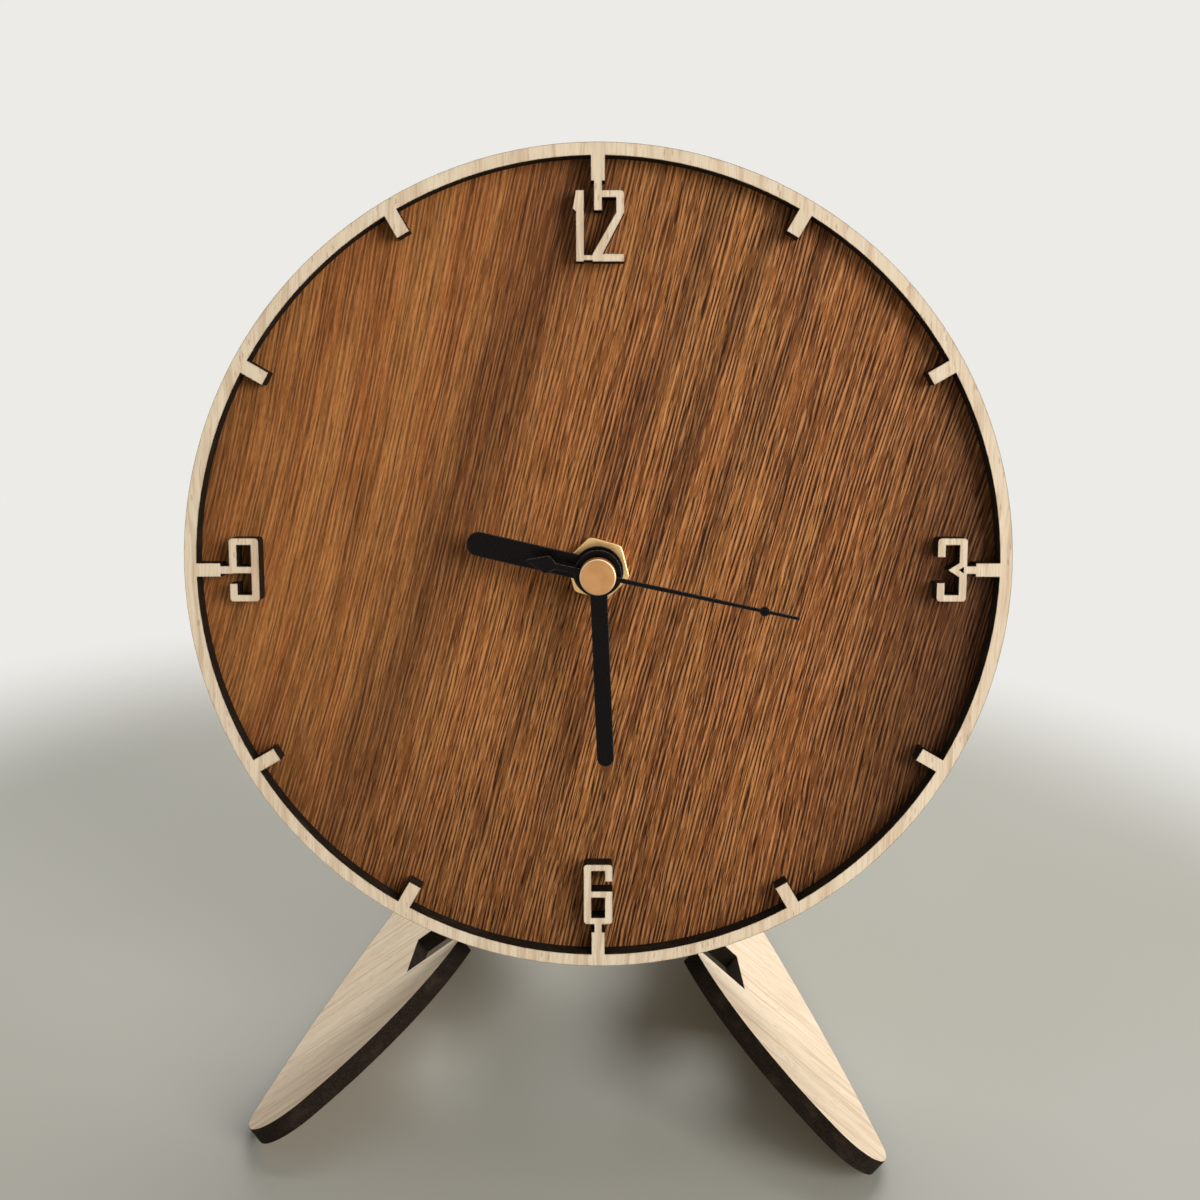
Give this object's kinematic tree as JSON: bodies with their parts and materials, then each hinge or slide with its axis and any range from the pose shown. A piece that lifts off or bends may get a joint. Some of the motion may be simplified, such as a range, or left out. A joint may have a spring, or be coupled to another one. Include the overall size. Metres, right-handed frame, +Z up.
{
  "type": "wooden desk clock",
  "caption": "Round wooden desk clock leaning back on two oval notched legs, with a pale numeral ring over a walnut dial, three hands and a battery quartz movement.",
  "frame": {"origin": "on the table, under the middle of the part's bounding box", "axes": "+Z up, -Y the front that the dial faces, +X to the viewer's right; the dial leans back 9 degrees"},
  "size_m": [0.2, 0.1386, 0.2328],
  "materials": {
    "pale_veneer": "pale straight-grained veneer, matt, cut edges burnt dark",
    "walnut_veneer": "walnut veneer, satin",
    "fibreboard": "bare fibreboard, cut edges burnt",
    "hand_black": "black paint, half gloss",
    "brass": "turned brass, satin",
    "rubber": "matt black rubber",
    "case_black": "moulded black plastic, fine texture",
    "gear_white": "natural acetal",
    "steel": "plain steel",
    "nickel": "nickel plate",
    "magnet": "dark sintered magnet",
    "copper": "enamelled copper wire",
    "board_green": "solder mask",
    "battery_wrap": "plain printed wrap, no lettering"
  },
  "bodies": {
    "stand": {"dial_ring": "pale_veneer", "dial_board": "walnut_veneer", "backing_board": "fibreboard", "left_leg": "pale_veneer", "right_leg": "pale_veneer", "rubber_washer": "rubber", "threaded_bush": "brass", "hex_nut": "brass", "stator": "steel", "coil_bobbin": "case_black", "coil_winding": "copper", "circuit_board": "board_green", "clock_chip": "case_black", "quartz_crystal": "nickel", "gear_plate": "case_black", "battery_can": "battery_wrap", "battery_nub": "nickel", "plus_contact": "nickel", "minus_contact": "nickel", "movement_case": "case_black", "movement_cover": "case_black"},
    "hour": {"hour_hand": "hand_black", "hour_wheel": "gear_white"},
    "minute": {"minute_hand": "hand_black", "minute_pipe": "brass"},
    "seconds": {"second_hand": "hand_black", "hand_cap": "brass", "second_wheel": "gear_white"},
    "centre": {"centre_wheel": "gear_white"},
    "third": {"third_wheel": "gear_white"},
    "minute_gear": {"minute_wheel": "gear_white"},
    "intermediate": {"intermediate_wheel": "gear_white"},
    "rotor": {"rotor_pinion": "gear_white", "rotor_magnet": "magnet"},
    "setting": {"setting_stem": "gear_white", "setting_knob": "case_black"}
  },
  "joints": [
    {"name": "second_hand_spin", "type": "hinge", "parent": "stand", "child": "seconds", "pos_m": [0, 0.00365, 0.13082], "axis": [0, 0.9877, -0.1564], "continuous": true},
    {"name": "minute_hand_spin", "type": "hinge", "parent": "stand", "child": "minute", "pos_m": [0, -0.00148, 0.13163], "axis": [0, 0.9877, -0.1564], "continuous": true},
    {"name": "hour_hand_spin", "type": "hinge", "parent": "stand", "child": "hour", "pos_m": [0, -0.00336, 0.13193], "axis": [0, 0.9877, -0.1564], "continuous": true},
    {"name": "centre_wheel_spin", "type": "hinge", "parent": "stand", "child": "centre", "pos_m": [0, -0.0001, 0.13141], "axis": [0, 0.9877, -0.1564], "continuous": true},
    {"name": "third_wheel_spin", "type": "hinge", "parent": "stand", "child": "third", "pos_m": [-0.00704, 0.0027, 0.13248], "axis": [0, 0.9877, -0.1564], "continuous": true},
    {"name": "intermediate_wheel_spin", "type": "hinge", "parent": "stand", "child": "intermediate", "pos_m": [-0.00039, 0.00599, 0.13788], "axis": [0, 0.9877, -0.1564], "continuous": true},
    {"name": "rotor_spin", "type": "hinge", "parent": "stand", "child": "rotor", "pos_m": [0.00118, 0.00679, 0.14298], "axis": [0, 0.9877, -0.1564], "continuous": true},
    {"name": "minute_wheel_spin", "type": "hinge", "parent": "stand", "child": "minute_gear", "pos_m": [0.00663, -0.00104, 0.13441], "axis": [0, 0.9877, -0.1564], "continuous": true},
    {"name": "setting_knob_spin", "type": "hinge", "parent": "stand", "child": "setting", "pos_m": [0.01202, -0.00168, 0.13041], "axis": [0, 0.9877, -0.1564], "continuous": true}
  ],
  "couplings": [
    {"joint": "intermediate_wheel_spin", "follows": "second_hand_spin", "ratio": -6},
    {"joint": "rotor_spin", "follows": "second_hand_spin", "ratio": 30},
    {"joint": "third_wheel_spin", "follows": "second_hand_spin", "ratio": -0.125},
    {"joint": "centre_wheel_spin", "follows": "second_hand_spin", "ratio": 0.016667},
    {"joint": "minute_wheel_spin", "follows": "minute_hand_spin", "ratio": -0.33333},
    {"joint": "hour_hand_spin", "follows": "minute_hand_spin", "ratio": 0.083333},
    {"joint": "setting_knob_spin", "follows": "minute_hand_spin", "ratio": 1.3333}
  ]
}
